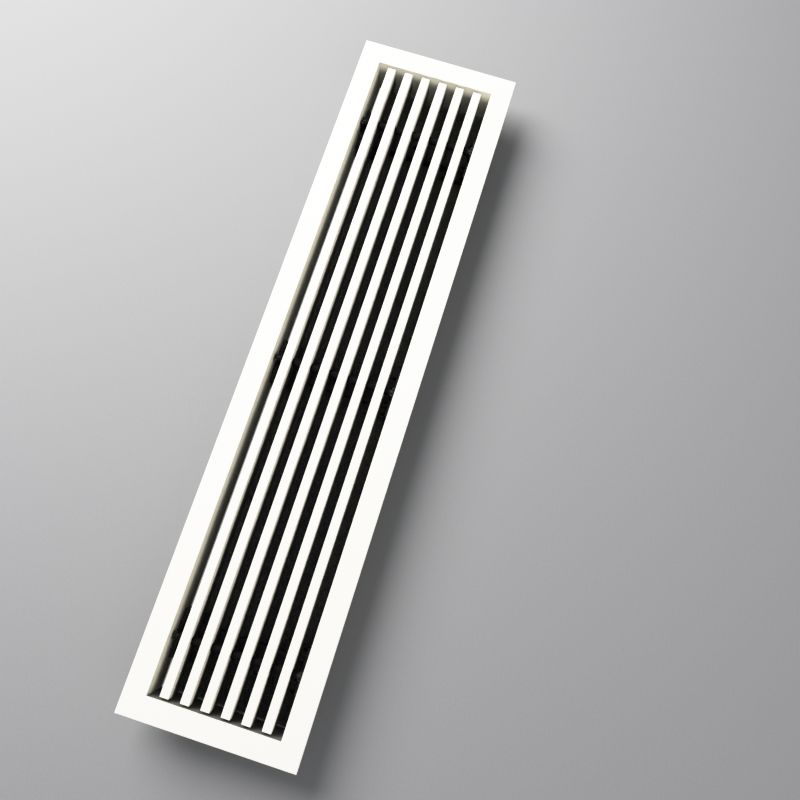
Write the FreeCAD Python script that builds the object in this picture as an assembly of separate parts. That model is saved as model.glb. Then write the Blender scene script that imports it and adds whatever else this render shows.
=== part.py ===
import FreeCAD, Part

import os

from FreeCAD import Vector

# Linear bar air grille, lying on its back, in millimetres.
# X runs along the grille, Y across it, and +Z points out of its face.
# The origin is below the centre of the grille, on the plane that the bridges stand on.

# Overall size
face_length = 550.0
face_width = 130.0
overall_depth = 36.0
neck_depth = 33.0

# Frame rail extrusion
border_width = 16.5
sheet = 1.5
lip_depth = 4.0
outer_edge_radius = 0.6
inner_edge_radius = 0.3
key_channel_width = 8.0
key_channel_depth = 1.9
channel_rib = 1.0
channel_hook = 1.0

# Corner keys and their set screws
key_leg = 34.0
key_width = 7.6
key_thickness = 1.7
set_screw_radius = 1.5
set_screw_length = 2.4
set_screw_socket_radius = 0.75
set_screw_socket_depth = 1.2
set_screw_inset = 10.0
set_screw_gap = 0.05

# Bars
bar_count = 6
bar_width = 6.5
bar_depth = 20.0
bar_wall = 1.2
bar_edge_radius = 0.4
bar_recess = 2.0
bar_end_gap = 1.75

# Cross rods, spacers and end collars
rod_pitch = 212.5
rod_offset = 5.0
rod_below_face = 9.0
rod_radius = 2.0
rod_end_gap = 1.0
rod_chamfer = 0.5
rod_hole_radius = 2.1
spacer_radius = 3.0
spacer_bore_radius = 2.15
collar_length = 3.6
collar_bore_radius = 2.05
collar_chamfer = 0.5

# Bridges across the rear of the neck
beam_width = 18.5
beam_below_face = 25.0
beam_plate = 2.0
beam_wall = 2.0
beam_low = 2.8
beam_rib = 1.5
beam_rib_places = (-38.0, -26.0, -13.0, 13.0, 26.0, 38.0)
foot_length = 35.0
foot_below_face = 19.0
foot_plate_below_face = 28.0
foot_plate_reach = 17.5
foot_leg = 3.0
outer_leg = 1.9
outer_leg_height = 9.0
wall_clearance = 0.1
upright_below_face = 18.0
finger_below_face = 7.0
finger_thickness = 1.0
finger_setback = 0.9
saddle_radius = 2.1
gusset_place = 6.0
gusset_reach = 3.9
gusset_height = 5.0
side_gusset_place = 15.0
side_gusset_height = 8.0
boss_radius = 4.5
fixing_hole_radius = 2.25

# Filter mat behind the bridges, notched round their feet and tucked under the neck's end walls
mat_low = 0.2
mat_top = 2.6
mat_side_gap = 0.3
mat_end_reach = 1.0
mat_notch_gap = 0.2
mat_hole_radius = 4.0

# Screws that hold the bridges' feet to the neck
foot_screw_place = 13.0
foot_screw_height = 6.0
foot_screw_radius = 1.45
foot_screw_hole_radius = 1.5
foot_screw_head_radius = 2.7
foot_screw_head_depth = 1.25
foot_screw_length = 5.8
foot_screw_slot_width = 0.7
foot_screw_slot_depth = 0.6
foot_screw_head_gap = 0.1

# How far a cutting shape runs past what it cuts
overshoot = 1.0

# Derived places
half_inner_length = face_length / 2 - border_width
half_inner_width = face_width / 2 - border_width
half_neck_width = half_inner_width + sheet
bar_gap = (2 * half_inner_width - bar_count * bar_width) / (bar_count + 1)
bar_step = bar_width + bar_gap
bar_length = 2 * (half_inner_length - bar_end_gap)
bar_top = overall_depth - bar_recess
bar_centres = [
    -half_inner_width + bar_gap + bar_width / 2 + index * bar_step
    for index in range(bar_count)
]
rod_height = overall_depth - rod_below_face
rod_places = {
    "top": rod_offset - rod_pitch,
    "middle": rod_offset,
    "bottom": rod_offset + rod_pitch,
}
neck_edge = overall_depth - neck_depth
beam_top = overall_depth - beam_below_face
leg_inner = half_inner_width - wall_clearance - foot_leg
leg_outer = half_inner_width - wall_clearance
outer_leg_inner = half_neck_width + wall_clearance
outer_leg_outer = outer_leg_inner + outer_leg
along_x = Vector(1, 0, 0)
along_y = Vector(0, 1, 0)
along_z = Vector(0, 0, 1)


def box(x_low, x_high, y_low, y_high, z_low, z_high):
    corner = Vector(x_low, y_low, z_low)
    return Part.makeBox(x_high - x_low, y_high - y_low, z_high - z_low, corner)


def fuse(shapes):
    return shapes[0].multiFuse(shapes[1:]).removeSplitter()


def turned(shape, degrees):
    copy = shape.copy()
    copy.rotate(Vector(0, 0, 0), along_z, degrees)
    return copy


def moved(shape, x, y=0.0):
    copy = shape.copy()
    copy.translate(Vector(x, y, 0))
    return copy


def save(name, shape):
    shape.exportStep(os.path.join("parts", name + ".step"))


# Frame rails: one extrusion, mitred at both ends

def corner_arc(start, centre, end, radius):
    middle = (start + end) * 0.5 - centre
    middle.normalize()
    return Part.Arc(start, centre + middle * radius, end).toShape()


def rail_section(reach, x):
    """The rail's outline; reach is the distance from the grille's centre line to the neck's inner face."""
    channel_end = sheet + key_channel_width
    rib_end = channel_end + channel_rib
    hook_depth = sheet + key_channel_depth

    def point(outward, below_face):
        return Vector(x, -(reach + outward), overall_depth - below_face)

    corners = [
        (border_width, outer_edge_radius),
        (border_width, lip_depth),
        (border_width - sheet, lip_depth),
        (border_width - sheet, sheet),
        (rib_end, sheet),
        (rib_end, lip_depth),
        (channel_end - channel_hook, lip_depth),
        (channel_end - channel_hook, hook_depth),
        (channel_end, hook_depth),
        (channel_end, sheet),
        (sheet, sheet),
        (sheet, hook_depth),
        (sheet + channel_hook, hook_depth),
        (sheet + channel_hook, lip_depth),
        (sheet, lip_depth),
        (sheet, neck_depth),
        (0.0, neck_depth),
        (0.0, inner_edge_radius),
    ]
    points = [point(*corner) for corner in corners]
    edges = [Part.makeLine(first, second) for first, second in zip(points, points[1:])]
    face_start = point(inner_edge_radius, 0.0)
    face_end = point(border_width - outer_edge_radius, 0.0)
    inner_centre = point(inner_edge_radius, inner_edge_radius)
    outer_centre = point(border_width - outer_edge_radius, outer_edge_radius)
    edges.append(corner_arc(points[-1], inner_centre, face_start, inner_edge_radius))
    edges.append(Part.makeLine(face_start, face_end))
    edges.append(corner_arc(face_end, outer_centre, points[0], outer_edge_radius))
    return Part.Face(Part.Wire(edges))


def rail(reach, half_span):
    """A rail on the -Y side, mitred so that its inner edge is half_span long each way."""
    inner = half_span - overshoot
    outer = half_span + border_width + overshoot
    straight = rail_section(reach, -outer).extrude(along_x * 2 * outer)
    corners = [
        Vector(-outer, -(reach + border_width + overshoot), 0),
        Vector(outer, -(reach + border_width + overshoot), 0),
        Vector(inner, -(reach - overshoot), 0),
        Vector(-inner, -(reach - overshoot), 0),
    ]
    mitre = Part.Face(Part.makePolygon(corners + corners[:1]))
    return straight.common(mitre.extrude(along_z * overall_depth))


def foot_screw_holes():
    """Drills for the screws in one foot, along Y, for a foot on the -Y side at X = 0."""
    return [
        Part.makeCylinder(
            foot_screw_hole_radius,
            half_neck_width,
            Vector(side * foot_screw_place, -outer_leg_outer - overshoot, foot_screw_height),
            along_y,
        )
        for side in (-1, 1)
    ]


def frame_rails():
    long_rail = rail(half_inner_width, half_inner_length)
    short_rail = rail(half_inner_length, half_inner_width)
    drills = [moved(drill, x) for x in rod_places.values() for drill in foot_screw_holes()]
    far_drills = [moved(drill, -x) for x in rod_places.values() for drill in foot_screw_holes()]
    save("frame_rail_left", long_rail.cut(drills))
    save("frame_rail_right", turned(long_rail.cut(far_drills), 180))
    save("frame_rail_top", turned(short_rail, -90))
    save("frame_rail_bottom", turned(short_rail, 90))


# Corner keys, each locked by two set screws

key_middle = sheet + key_channel_width / 2
key_low = overall_depth - sheet - key_channel_depth
key_places = {
    "top_left": (-1, -1),
    "top_right": (-1, 1),
    "bottom_left": (1, -1),
    "bottom_right": (1, 1),
}


def key_corner():
    return half_inner_length + key_middle, half_inner_width + key_middle


def set_screw_spots():
    """Screw centres on the key in the +X +Y corner."""
    x, y = key_corner()
    inset = key_leg - key_width / 2 - set_screw_inset
    return [(x - inset, y), (x, y - inset)]


def corner_key():
    """The key in the +X +Y corner."""
    x, y = key_corner()
    half = key_width / 2
    top = key_low + key_thickness
    along = box(x + half - key_leg, x + half, y - half, y + half, key_low, top)
    across = box(x - half, x + half, y + half - key_leg, y + half, key_low, top)
    hole_radius = set_screw_radius + set_screw_gap
    hole_low = key_low - overshoot
    holes = [
        Part.makeCylinder(hole_radius, 2 * key_thickness, Vector(along_key, across_key, hole_low))
        for along_key, across_key in set_screw_spots()
    ]
    return fuse([along, across]).cut(holes)


def set_screw(x, y):
    top = overall_depth - sheet
    body = Part.makeCylinder(set_screw_radius, set_screw_length, Vector(x, y, top - set_screw_length))
    socket_low = top - set_screw_length
    socket = Part.makeCylinder(set_screw_socket_radius, set_screw_socket_depth, Vector(x, y, socket_low))
    return body.cut(socket)


def mirrored(shape, x_sign, y_sign):
    result = shape
    if x_sign < 0:
        result = result.mirror(Vector(0, 0, 0), along_x)
    if y_sign < 0:
        result = result.mirror(Vector(0, 0, 0), along_y)
    return result


def corner_keys():
    key = corner_key()
    screws = [set_screw(x, y) for x, y in set_screw_spots()]
    all_screws = []
    for corner, signs in key_places.items():
        save("corner_key_" + corner, mirrored(key, *signs))
        all_screws += [mirrored(screw, *signs) for screw in screws]
    save("corner_key_screws", Part.makeCompound(all_screws))


# Bridges: moulded beams that hook over the neck and hold the core's rods

def beam():
    half = beam_width / 2
    inner = half - beam_wall
    plate_low = beam_top - beam_plate
    pieces = [
        box(-half, half, -leg_inner, leg_inner, plate_low, beam_top),
        box(-half, -inner, -leg_inner, leg_inner, beam_low, beam_top),
        box(inner, half, -leg_inner, leg_inner, beam_low, beam_top),
        Part.makeCylinder(boss_radius, plate_low - beam_low, Vector(0, 0, beam_low)),
    ]
    for y in beam_rib_places:
        low = y - beam_rib / 2
        pieces.append(box(-inner, inner, low, low + beam_rib, beam_low, plate_low))
    return pieces


def gusset(x, low, height):
    corner = Vector(x - beam_rib / 2, -leg_inner, low)
    rise = corner + Vector(0, 0, height)
    reach = corner + Vector(0, gusset_reach, 0)
    triangle = Part.Face(Part.makePolygon([corner, rise, reach, corner]))
    return triangle.extrude(along_x * beam_rib)


def foot_plates():
    """The -Y foot's plates each side of the beam, lower than its top, with rims round their free edges."""
    plate_top = overall_depth - foot_plate_below_face
    plate_end = -leg_inner + foot_plate_reach
    pieces = []
    for side in (-1, 1):
        near, far = sorted((side * beam_width / 2, side * foot_length / 2))
        rim_near, rim_far = sorted((side * (foot_length / 2 - beam_wall), side * foot_length / 2))
        pieces += [
            box(near, far, -leg_inner, plate_end, plate_top - beam_plate, plate_top),
            box(near, far, plate_end - beam_wall, plate_end, beam_low, plate_top),
            box(rim_near, rim_far, -leg_inner, plate_end, beam_low, plate_top),
            gusset(side * gusset_place, beam_top, gusset_height),
            gusset(side * side_gusset_place, plate_top, side_gusset_height),
        ]
    return pieces


def foot():
    """The foot on the -Y side: two legs that straddle the neck, and the upright with its saddle."""
    half = foot_length / 2
    finger_half = saddle_radius + finger_thickness
    finger_top = overall_depth - finger_below_face
    pieces = [
        box(-half, half, -leg_outer, -leg_inner, 0, overall_depth - foot_below_face),
        box(-half, half, -outer_leg_outer, -leg_inner, 0, neck_edge - wall_clearance),
        box(-half, half, -outer_leg_outer, -outer_leg_inner, 0, outer_leg_height),
        box(-beam_width / 2, beam_width / 2, -leg_outer, -leg_inner, 0, overall_depth - upright_below_face),
        box(-finger_half, finger_half, finger_setback - leg_outer, -leg_inner, 0, finger_top),
    ]
    cut_start = -leg_outer - overshoot
    cut_end = -leg_inner + overshoot
    saddle = [
        Part.makeCylinder(saddle_radius, cut_end - cut_start, Vector(0, cut_start, rod_height), along_y),
        box(-saddle_radius, saddle_radius, cut_start, cut_end, rod_height, finger_top + overshoot),
    ]
    sinks = [
        Part.makeCone(
            foot_screw_head_radius,
            foot_screw_hole_radius,
            foot_screw_head_depth,
            Vector(side * foot_screw_place, -outer_leg_outer, foot_screw_height),
            along_y,
        )
        for side in (-1, 1)
    ]
    return fuse(pieces + foot_plates()).cut(saddle + sinks + foot_screw_holes())


def bridge():
    near = foot()
    whole = fuse(beam() + [near, turned(near, 180)])
    fixing_hole = Part.makeCylinder(fixing_hole_radius, overall_depth, Vector(0, 0, 0))
    return whole.cut(fixing_hole)


def foot_screw():
    """A countersunk screw in the -Y foot, with its head flush in the outer leg."""
    start = Vector(0, -outer_leg_outer, foot_screw_height)
    shank = Part.makeCylinder(foot_screw_radius, foot_screw_length, start, along_y)
    head_radius = foot_screw_head_radius - foot_screw_head_gap
    head_depth = foot_screw_head_depth - foot_screw_head_gap
    head = Part.makeCone(head_radius, foot_screw_radius, head_depth, start, along_y)
    slot = box(
        -head_radius,
        head_radius,
        -outer_leg_outer,
        -outer_leg_outer + foot_screw_slot_depth,
        foot_screw_height - foot_screw_slot_width / 2,
        foot_screw_height + foot_screw_slot_width / 2,
    )
    return fuse([shank, head]).cut(slot)


def bridges():
    one_bridge = bridge()
    one_screw = foot_screw()
    screws = []
    for place, x in rod_places.items():
        save("core_bridge_" + place, moved(one_bridge, x))
        for side in (-1, 1):
            near = moved(one_screw, side * foot_screw_place)
            screws += [moved(near, x), moved(turned(near, 180), x)]
    save("bridge_screws", Part.makeCompound(screws))


# Filter mat: fills the neck's rear opening, behind the beams

def filter_mat():
    half_length = half_inner_length + mat_end_reach
    half_width = half_inner_width - mat_side_gap
    slab = box(-half_length, half_length, -half_width, half_width, mat_low, mat_top)
    notch_half = foot_length / 2 + mat_notch_gap
    notch_start = leg_inner - mat_notch_gap
    cuts = []
    for x in rod_places.values():
        cuts.append(Part.makeCylinder(mat_hole_radius, overall_depth, Vector(x, 0, -overshoot)))
        for low, high in ((-face_width, -notch_start), (notch_start, face_width)):
            cuts.append(box(x - notch_half, x + notch_half, low, high, -overshoot, overall_depth))
    return slab.cut(cuts)


# The core: hollow bars on three cross rods

def bar(y):
    half_length = bar_length / 2
    half_width = bar_width / 2
    low = bar_top - bar_depth
    outer = box(-half_length, half_length, y - half_width, y + half_width, low, bar_top)
    long_edges = [edge for edge in outer.Edges if edge.Length > bar_length / 2]
    outer = outer.makeFillet(bar_edge_radius, long_edges)
    inner_half = half_width - bar_wall
    hollow = box(
        -half_length - overshoot,
        half_length + overshoot,
        y - inner_half,
        y + inner_half,
        low + bar_wall,
        bar_top - bar_wall,
    )
    hole_start = y - half_width - overshoot
    hole_length = bar_width + 2 * overshoot
    holes = [
        Part.makeCylinder(rod_hole_radius, hole_length, Vector(x, hole_start, rod_height), along_y)
        for x in rod_places.values()
    ]
    return outer.cut([hollow] + holes)


def cross_rod(x):
    half = half_inner_width - rod_end_gap
    rod = Part.makeCylinder(rod_radius, 2 * half, Vector(x, -half, rod_height), along_y)
    rims = [edge for edge in rod.Edges if edge.BoundBox.YLength < rod_chamfer]
    return rod.makeChamfer(rod_chamfer, rims)


def tube(x, y_low, length, bore):
    start = Vector(x, y_low, rod_height)
    outer = Part.makeCylinder(spacer_radius, length, start, along_y)
    return outer.cut(Part.makeCylinder(bore, length, start, along_y))


def spacers(x):
    starts = [centre + bar_width / 2 for centre in bar_centres[:-1]]
    return Part.makeCompound([tube(x, start, bar_gap, spacer_bore_radius) for start in starts])


def end_collar(x):
    """The collar outside the bar on the +Y side, chamfered on its free rim."""
    start = Vector(x, bar_centres[-1] + bar_width / 2, rod_height)
    straight = collar_length - collar_chamfer
    body = Part.makeCylinder(spacer_radius, straight, start, along_y)
    rim = Part.makeCone(
        spacer_radius,
        spacer_radius - collar_chamfer,
        collar_chamfer,
        start + along_y * straight,
        along_y,
    )
    bore = Part.makeCylinder(collar_bore_radius, collar_length, start, along_y)
    return fuse([body, rim]).cut(bore)


def core():
    for index, centre in enumerate(bar_centres):
        save("bar_%d" % (index + 1), bar(centre))
    for place, x in rod_places.items():
        collar = end_collar(x)
        save("cross_rod_" + place, cross_rod(x))
        save("spacers_" + place, spacers(x))
        save("end_collars_" + place, Part.makeCompound([collar, mirrored(collar, 1, -1)]))


os.makedirs("parts", exist_ok=True)
frame_rails()
corner_keys()
bridges()
save("filter_mat", filter_mat())
core()
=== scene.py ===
import math

import bpy
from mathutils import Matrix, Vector, noise


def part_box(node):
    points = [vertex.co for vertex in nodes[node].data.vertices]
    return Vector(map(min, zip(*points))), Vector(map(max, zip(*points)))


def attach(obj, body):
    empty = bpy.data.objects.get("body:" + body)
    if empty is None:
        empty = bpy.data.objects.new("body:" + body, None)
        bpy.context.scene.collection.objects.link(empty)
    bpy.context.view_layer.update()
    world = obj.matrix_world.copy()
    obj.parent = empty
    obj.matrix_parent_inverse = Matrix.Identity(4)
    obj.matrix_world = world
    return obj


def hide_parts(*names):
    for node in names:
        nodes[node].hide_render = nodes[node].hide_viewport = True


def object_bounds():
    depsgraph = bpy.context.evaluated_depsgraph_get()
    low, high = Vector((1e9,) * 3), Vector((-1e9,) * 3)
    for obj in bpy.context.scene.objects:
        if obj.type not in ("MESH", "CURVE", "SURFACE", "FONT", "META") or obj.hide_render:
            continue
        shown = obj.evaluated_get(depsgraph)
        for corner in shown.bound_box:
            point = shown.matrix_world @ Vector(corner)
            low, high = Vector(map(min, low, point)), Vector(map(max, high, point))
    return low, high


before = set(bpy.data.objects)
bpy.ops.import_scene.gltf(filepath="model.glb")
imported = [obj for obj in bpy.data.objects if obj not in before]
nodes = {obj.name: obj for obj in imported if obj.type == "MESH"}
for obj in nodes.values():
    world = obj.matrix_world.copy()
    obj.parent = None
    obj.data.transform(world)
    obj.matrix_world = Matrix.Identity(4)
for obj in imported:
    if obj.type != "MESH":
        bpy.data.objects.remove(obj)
cad_low, cad_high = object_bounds()

MM = 0.001

# Camera, in metres and degrees in the row frame
camera_place = (0.11544, 0.08029, 0.53904)
camera_turn = (12.119, -0.742, 107.478)
camera_lens = 31.118
camera_sensor = 36.0

# Lights and floor
key_power = 39.0
key_size = 0.9
key_place = (-0.50, -0.62, 0.76)
fill_power = 2.4
fill_size = 0.8
fill_place = (0.50, 0.70, 0.80)
light_colour = (1.0, 0.995, 0.985)
world_colour = (0.94, 0.97, 1.0)
world_strength = 0.42
floor_size = 8.0
floor_colour = (0.210, 0.210, 0.215)
floor_shade = (0.199, 0.199, 0.203)
mottle_size = 1.5 * MM

# Soft highlights: straight up to the knee, then a curve that never quite reaches white
highlight_knee = 0.5
highlight_limit = 4.0
highlight_points = 24

# White coat, and the dark that fades in below the face: black spray paint, and on the rail walls also
# painted shade set per wall to how light falls there; start and end depth, and colour
white = (0.900, 0.862, 0.745)
white_shade = (0.885, 0.845, 0.725)
# Rail walls: each wall's dark is part black spray, part painted shade, set apart for how light falls
# on that wall
side_overspray_and_shade = (6.0 * MM, 16.5 * MM, (0.34, 0.335, 0.31))
top_overspray_and_shade = (4.0 * MM, 14.0 * MM, (0.42, 0.415, 0.375))
bottom_overspray_and_shade = (-2.0 * MM, 0.8 * MM, (0.065, 0.063, 0.060))
bar_overspray = (6.0 * MM, 10.6 * MM, (0.012, 0.012, 0.012))
drift_size = 45 * MM
drift_reach = 1.0 * MM
droplet_size = 0.5 * MM
droplet_reach = 1.6 * MM
patch_size = 28 * MM
sheen_patch_size = 9 * MM
peel_size = 1.6 * MM
spray_grain_size = 0.35 * MM
peel_height = 0.03 * MM
face_height = cad_high.z
neck_half_length = 258.5 * MM
neck_half_width = 48.5 * MM
neck_margin = 0.05 * MM

# Black parts and bare metal
plastic_black = (0.010, 0.010, 0.0105)
plastic_scuffed = (0.022, 0.022, 0.023)
dust_colour = (0.08, 0.077, 0.07)
dust_cover = 0.15
sleeve_black = (0.0022, 0.0022, 0.0025)
sleeve_rubbed = (0.006, 0.006, 0.006)
rod_black = (0.006, 0.006, 0.0065)
rod_rubbed = (0.018, 0.0175, 0.017)
zinc_clean = (0.62, 0.62, 0.6)
zinc_stained = (0.4, 0.39, 0.37)
aluminium_clean = (0.74, 0.74, 0.75)
aluminium_stained = (0.6, 0.6, 0.6)
bare_roughness = 0.3
roughness_spread = 0.18

# Foam
# Pore colour: painted shade inside the cell hollows
foam_pore_painted_shade = (0.012, 0.0135, 0.014)
foam_edge = (0.070, 0.075, 0.076)
pore_size = 1.3 * MM
pore_depth = 0.35 * MM

# Rounded edges
weld_distance = 0.002 * MM
moulded_edge = 0.25 * MM
metal_edge = 0.12 * MM
edge_segments = 2
edge_angle = 40.0

# Filter mat: its mesh, its uneven surface, and where it stops short of its space
mat_cell = 1.1 * MM
mat_smoothing = 2
swell_size = 14 * MM
swell_height = 0.12 * MM
pit_size = 2.1 * MM
pit_height = 0.1 * MM
mat_end_slack = 1.2 * MM
mat_corner_slack = 0.6 * MM
mat_corner_length = 29.0 * MM


class Finish:
    """Builds one material; values that don't vary go straight on the shader's own sockets."""

    def __init__(self, name, **shader_values):
        self.material = bpy.data.materials.new(name)
        self.material.use_nodes = True
        self.tree = self.material.node_tree
        self.shader = self.tree.nodes["Principled BSDF"]
        self.place = self.tree.nodes.new("ShaderNodeTexCoord").outputs["Object"]
        for socket, value in shader_values.items():
            self.shader.inputs[socket.replace("_", " ")].default_value = value

    def add(self, kind, inputs, **settings):
        node = self.tree.nodes.new(kind)
        for setting, value in settings.items():
            setattr(node, setting, value)
        for socket, value in inputs.items():
            self.join(value, node.inputs[socket])
        return node

    def join(self, value, socket):
        if isinstance(value, bpy.types.NodeSocket):
            self.tree.links.new(value, socket)
        else:
            socket.default_value = value

    def noise(self, size, detail=2.0, stretch=(1.0, 1.0, 1.0), roughness=0.5):
        """Noise whose features are about size metres across, from 0 to 1."""
        scaled = self.add(
            "ShaderNodeVectorMath",
            {0: self.place, 1: [amount / size for amount in stretch]},
            operation="MULTIPLY",
        )
        values = {"Vector": scaled.outputs[0], "Scale": 1.0, "Detail": detail, "Roughness": roughness}
        return self.add("ShaderNodeTexNoise", values).outputs["Fac"]

    def cells(self, size):
        """Distance from the nearest of a field of random points, size metres apart."""
        values = {"Vector": self.place, "Scale": 1.0 / size}
        return self.add("ShaderNodeTexVoronoi", values).outputs["Distance"]

    def maths(self, operation, first, second=0.0):
        return self.add("ShaderNodeMath", {0: first, 1: second}, operation=operation).outputs[0]

    def ramp(self, value, start, end, low=0.0, high=1.0):
        """Smoothly from low to high as value goes from start to end."""
        values = {"Value": value, "From Min": start, "From Max": end, "To Min": low, "To Max": high}
        node = self.add("ShaderNodeMapRange", values, interpolation_type="SMOOTHSTEP")
        return node.outputs["Result"]

    def mix(self, share, first, second):
        node = self.add("ShaderNodeMix", {}, data_type="RGBA")
        self.join(share, node.inputs[0])
        self.join(opaque(first), node.inputs[6])
        self.join(opaque(second), node.inputs[7])
        return node.outputs[2]

    def axes(self):
        return self.add("ShaderNodeSeparateXYZ", {0: self.place}).outputs

    def bump(self, height, depth):
        node = self.add("ShaderNodeBump", {"Height": height, "Distance": depth, "Strength": 1.0})
        self.join(node.outputs["Normal"], self.shader.inputs["Normal"])

    def colour(self, value):
        self.join(value, self.shader.inputs["Base Color"])

    def roughness(self, value):
        self.join(value, self.shader.inputs["Roughness"])


def opaque(colour):
    return colour if isinstance(colour, bpy.types.NodeSocket) else (*colour, 1.0)


def inside(finish, axes):
    """1 inside the neck's opening and 0 outside it."""
    width = finish.maths("ABSOLUTE", axes["Y"])
    length = finish.maths("ABSOLUTE", axes["X"])
    across = finish.maths("LESS_THAN", width, neck_half_width + neck_margin)
    along = finish.maths("LESS_THAN", length, neck_half_length + neck_margin)
    return finish.maths("MULTIPLY", across, along)


def white_coat(name, spray_and_shade, only_inside):
    """Powder coat with a fine orange peel, and a dark fade from the rear: black spray paint, and on
    the rail walls also painted shade deeper in the opening.
    """
    start, end, dark = spray_and_shade
    finish = Finish(name, Coat_Weight=0.15, Coat_Roughness=0.3)
    axes = finish.axes()
    depth = finish.maths("SUBTRACT", face_height, axes["Z"])
    drift = finish.ramp(finish.noise(drift_size), 0.25, 0.75, -drift_reach, drift_reach)
    speckle = finish.noise(droplet_size, detail=3.0)
    droplets = finish.ramp(speckle, 0.2, 0.8, -droplet_reach, droplet_reach)
    sprayed = finish.maths("ADD", finish.maths("ADD", depth, drift), droplets)
    dark_share = finish.ramp(sprayed, start, end)
    if only_inside:
        dark_share = finish.maths("MULTIPLY", dark_share, inside(finish, axes))
    patches = finish.ramp(finish.noise(patch_size, detail=4.0), 0.3, 0.7)
    body = finish.mix(patches, white, white_shade)
    # Dark fade: black spray paint, and on the rails also painted shade
    finish.colour(finish.mix(dark_share, body, dark))
    peel = finish.noise(peel_size)
    sheen = finish.ramp(finish.noise(sheen_patch_size, detail=3.0), 0.25, 0.75, 0.4, 0.5)
    finish.roughness(finish.maths("ADD", sheen, finish.maths("MULTIPLY", dark_share, 0.25)))
    grain = finish.maths("MULTIPLY", dark_share, finish.noise(spray_grain_size, detail=3.0))
    finish.bump(finish.maths("ADD", peel, grain), peel_height)
    return finish.material


def black_plastic():
    """Moulded plastic with a fine matt texture, faint scuffs and a little pale dust."""
    finish = Finish("moulded_black_plastic", Specular_IOR_Level=0.25)
    scuffs = finish.ramp(finish.noise(6 * MM, detail=6.0, stretch=(1.0, 0.25, 1.0)), 0.52, 0.75)
    dust = finish.ramp(finish.noise(1.4 * MM, detail=5.0, roughness=0.7), 0.62, 0.82)
    base = finish.mix(scuffs, plastic_black, plastic_scuffed)
    finish.colour(finish.mix(finish.maths("MULTIPLY", dust, dust_cover), base, dust_colour))
    finish.roughness(finish.ramp(scuffs, 0.0, 1.0, 0.38, 0.56))
    grain = finish.noise(0.28 * MM, detail=4.0)
    flow = finish.noise(12 * MM, detail=1.0, stretch=(1.0, 0.4, 1.0))
    finish.bump(finish.maths("ADD", grain, flow), 0.035 * MM)
    return finish.material


def black_sleeve():
    """Soft black plastic tube: dull, with fine grain and a few paler rubbed spots."""
    finish = Finish("dull_black_sleeve", Specular_IOR_Level=0.04)
    rubbed = finish.ramp(finish.noise(2.5 * MM, detail=5.0), 0.55, 0.8)
    finish.colour(finish.mix(rubbed, sleeve_black, sleeve_rubbed))
    finish.roughness(finish.ramp(rubbed, 0.0, 1.0, 0.68, 0.82))
    finish.bump(finish.noise(0.25 * MM, detail=4.0), 0.03 * MM)
    return finish.material


def black_rod():
    """Blackened rod, drawn along its length, with lighter rubbed streaks."""
    finish = Finish("blackened_rod", Specular_IOR_Level=0.15)
    drawn = finish.noise(0.5 * MM, detail=4.0, stretch=(1.0, 0.04, 1.0))
    rubbed = finish.ramp(finish.noise(7 * MM, detail=5.0, stretch=(1.0, 0.5, 1.0)), 0.55, 0.78)
    finish.colour(finish.mix(rubbed, rod_black, rod_rubbed))
    finish.roughness(finish.ramp(drawn, 0.25, 0.75, 0.5, 0.65))
    finish.bump(drawn, 0.02 * MM)
    return finish.material


def bare_metal(name, clean, stained, stretch):
    """Bare metal with drawn or brushed lines along the axis that stretch makes small."""
    finish = Finish(name, Metallic=1.0)
    lines = finish.noise(0.45 * MM, detail=4.0, stretch=stretch)
    stain = finish.ramp(finish.noise(5 * MM, detail=5.0), 0.4, 0.75)
    finish.colour(finish.mix(stain, clean, stained))
    finish.roughness(finish.ramp(lines, 0.2, 0.8, bare_roughness, bare_roughness + roughness_spread))
    finish.bump(lines, 0.02 * MM)
    return finish.material


def open_foam():
    """Black open-cell foam: pores painted darker as shade in the cell hollows, between thin, slightly
    paler cell edges.
    """
    finish = Finish("open_cell_foam", Specular_IOR_Level=0.25, Sheen_Weight=0.25, Sheen_Roughness=0.6)
    pores = finish.ramp(finish.cells(pore_size), 0.1, 0.62)
    fine = finish.noise(0.6 * MM, detail=4.0)
    shade = finish.maths("MULTIPLY", pores, finish.ramp(fine, 0.25, 0.75, 0.6, 1.0))
    finish.colour(finish.mix(shade, foam_pore_painted_shade, foam_edge))
    finish.roughness(finish.ramp(fine, 0.2, 0.8, 0.8, 0.95))
    finish.bump(finish.maths("ADD", pores, finish.maths("MULTIPLY", fine, 0.4)), pore_depth)
    return finish.material


def floor_paper():
    """Plain matt paper with a very faint mottle."""
    finish = Finish("plain_floor", Specular_IOR_Level=0.1, Roughness=0.9)
    mottle = finish.ramp(finish.noise(mottle_size, detail=6.0), 0.3, 0.7)
    finish.colour(finish.mix(mottle, floor_colour, floor_shade))
    return finish.material


def dress(obj, material, edge=0.0):
    """Puts the material in the object's slots, and rounds its sharp edges a little."""
    if not obj.material_slots:
        obj.data.materials.append(material)
    for slot in obj.material_slots:
        slot.link = "OBJECT"
        slot.material = material
    if edge:
        weld = obj.modifiers.new("weld", "WELD")
        weld.merge_threshold = weld_distance
        bevel = obj.modifiers.new("edge", "BEVEL")
        bevel.width = edge
        bevel.segments = edge_segments
        bevel.limit_method = "ANGLE"
        bevel.angle_limit = math.radians(edge_angle)
        bevel.harden_normals = True


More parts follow.
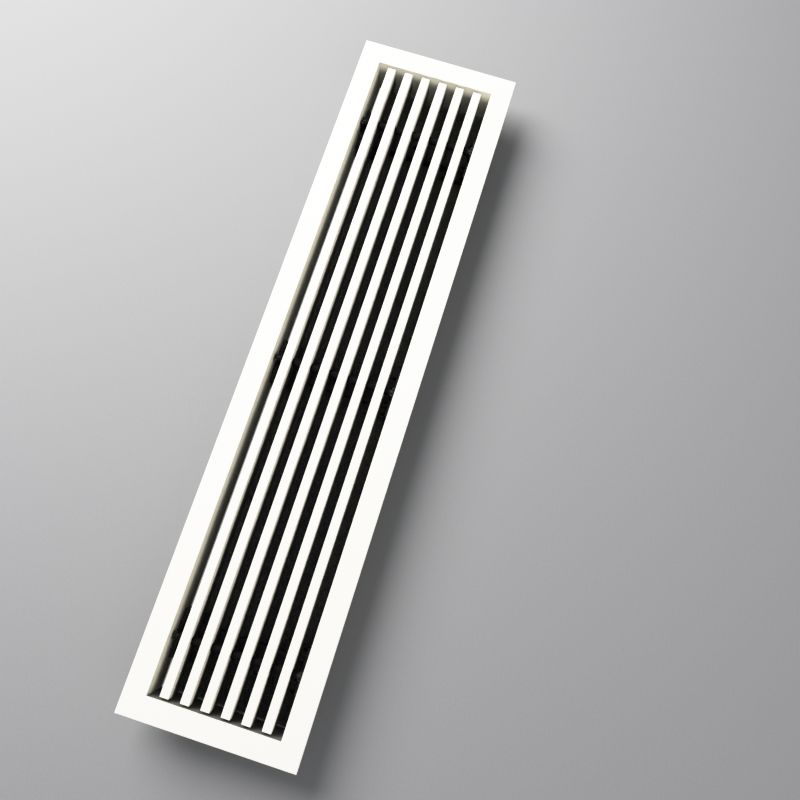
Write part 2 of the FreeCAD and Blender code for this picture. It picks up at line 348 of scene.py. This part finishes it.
def foam_mat():
    """The mat as foam: a soft-edged slab with an uneven surface, inside the CAD mat's space."""
    source = nodes["filter_mat"]
    low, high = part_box("filter_mat")
    obj = bpy.data.objects.new("foam_mat", source.data.copy())
    bpy.context.scene.collection.objects.link(obj)
    weld = obj.modifiers.new("weld", "WELD")
    weld.merge_threshold = weld_distance
    remesh = obj.modifiers.new("cells", "REMESH")
    remesh.mode = "VOXEL"
    remesh.voxel_size = mat_cell
    smooth = obj.modifiers.new("soft", "SMOOTH")
    smooth.iterations = mat_smoothing
    graph = bpy.context.evaluated_depsgraph_get()
    mesh = bpy.data.meshes.new_from_object(obj.evaluated_get(graph))
    obj.modifiers.clear()
    obj.data = mesh
    normals = [vertex.normal.copy() for vertex in mesh.vertices]
    reach_x, reach_y = [max(abs(vertex.co[i]) for vertex in mesh.vertices) for i in (0, 1)]
    for vertex, normal in zip(mesh.vertices, normals):
        place = vertex.co.copy()
        place.x *= (high.x - mat_end_slack if place.x > 0 else high.x) / reach_x
        in_corner = place.y < 0 and place.x < low.x + mat_corner_length
        place.y *= (high.y - mat_corner_slack if in_corner else high.y) / reach_y
        swell = noise.noise(place / swell_size) * swell_height
        pits = noise.noise(place / pit_size) * pit_height
        moved = place + normal * (swell + pits)
        vertex.co = [min(max(moved[i], low[i]), high[i]) for i in range(3)]
    for polygon in mesh.polygons:
        polygon.use_smooth = True
    mesh.materials.clear()
    return obj


def add_camera():
    data = bpy.data.cameras.new("camera")
    data.sensor_width = camera_sensor
    data.lens = camera_lens
    camera = bpy.data.objects.new("camera", data)
    camera.location = camera_place
    camera.rotation_euler = [math.radians(angle) for angle in camera_turn]
    bpy.context.scene.collection.objects.link(camera)
    bpy.context.scene.camera = camera


def add_light(name, place, size, power):
    """A round soft light that faces the origin."""
    data = bpy.data.lights.new(name, "AREA")
    data.shape = "DISK"
    data.size = size
    data.energy = power
    data.color = light_colour
    light = bpy.data.objects.new(name, data)
    light.location = place
    light.rotation_euler = Vector(place).to_track_quat("Z", "Y").to_euler()
    bpy.context.scene.collection.objects.link(light)


def add_world():
    world = bpy.data.worlds.new("studio")
    world.use_nodes = True
    background = world.node_tree.nodes["Background"]
    background.inputs["Color"].default_value = (*world_colour, 1.0)
    background.inputs["Strength"].default_value = world_strength
    bpy.context.scene.world = world


def add_floor():
    mesh = bpy.data.meshes.new("floor")
    half = floor_size / 2
    corners = [(-half, -half, 0), (half, -half, 0), (half, half, 0), (-half, half, 0)]
    mesh.from_pydata(corners, [], [(0, 1, 2, 3)])
    floor = bpy.data.objects.new("floor", mesh)
    bpy.context.scene.collection.objects.link(floor)
    floor.data.materials.append(floor_paper())


def soften_highlights():
    """A tone curve like a camera's: light above the knee is pressed together below white."""
    view = bpy.context.scene.view_settings
    view.view_transform = "Standard"
    view.use_curve_mapping = True
    mapping = view.curve_mapping
    mapping.white_level = (highlight_limit, highlight_limit, highlight_limit)
    points = mapping.curves[3].points
    room = 1.0 - highlight_knee
    for step in range(1, highlight_points):
        share = (step / highlight_points) ** 2
        light = highlight_knee + share * (highlight_limit - highlight_knee)
        shown = highlight_knee + room * (1.0 - math.exp(-(light - highlight_knee) / room))
        points.new(light / highlight_limit, shown)
    points.new(highlight_knee / highlight_limit, highlight_knee)
    mapping.update()


add_camera()
add_light("key", key_place, key_size, key_power)
add_light("fill", fill_place, fill_size, fill_power)
add_world()
add_floor()
soften_highlights()

# The three rail coats are shaded copies of one coat, each holding its own wall's painted shade
side_coat_painted_shade = white_coat("white_side_coat", side_overspray_and_shade, True)
top_coat_painted_shade = white_coat("white_top_coat", top_overspray_and_shade, True)
bottom_coat_painted_shade = white_coat("white_bottom_coat", bottom_overspray_and_shade, True)
bar_coat = white_coat("white_bar_coat", bar_overspray, False)
plastic = black_plastic()
sleeve = black_sleeve()
rod = black_rod()
zinc = bare_metal("zinc_screw", zinc_clean, zinc_stained, (1.0, 0.1, 1.0))
aluminium = bare_metal("brushed_key", aluminium_clean, aluminium_stained, (0.08, 1.0, 1.0))

# How each node's name starts, its material, and how far its edges are rounded; the first match counts
dressing = (
    ("frame_rail_top", top_coat_painted_shade, 0.0),
    ("frame_rail_bottom", bottom_coat_painted_shade, 0.0),
    ("frame_rail", side_coat_painted_shade, 0.0),
    ("bar_", bar_coat, 0.0),
    ("cross_rod", rod, 0.0),
    ("corner_key_screws", zinc, metal_edge),
    ("bridge_screws", zinc, metal_edge),
    ("corner_key", aluminium, metal_edge),
    ("core_bridge", plastic, moulded_edge),
    ("spacers", sleeve, metal_edge),
    ("end_collars", sleeve, metal_edge),
)
for name, node in nodes.items():
    for start, material, edge in dressing:
        if name.startswith(start):
            dress(node, material, edge)
            break

mat = foam_mat()
dress(mat, open_foam())
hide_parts("filter_mat")
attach(mat, "frame")
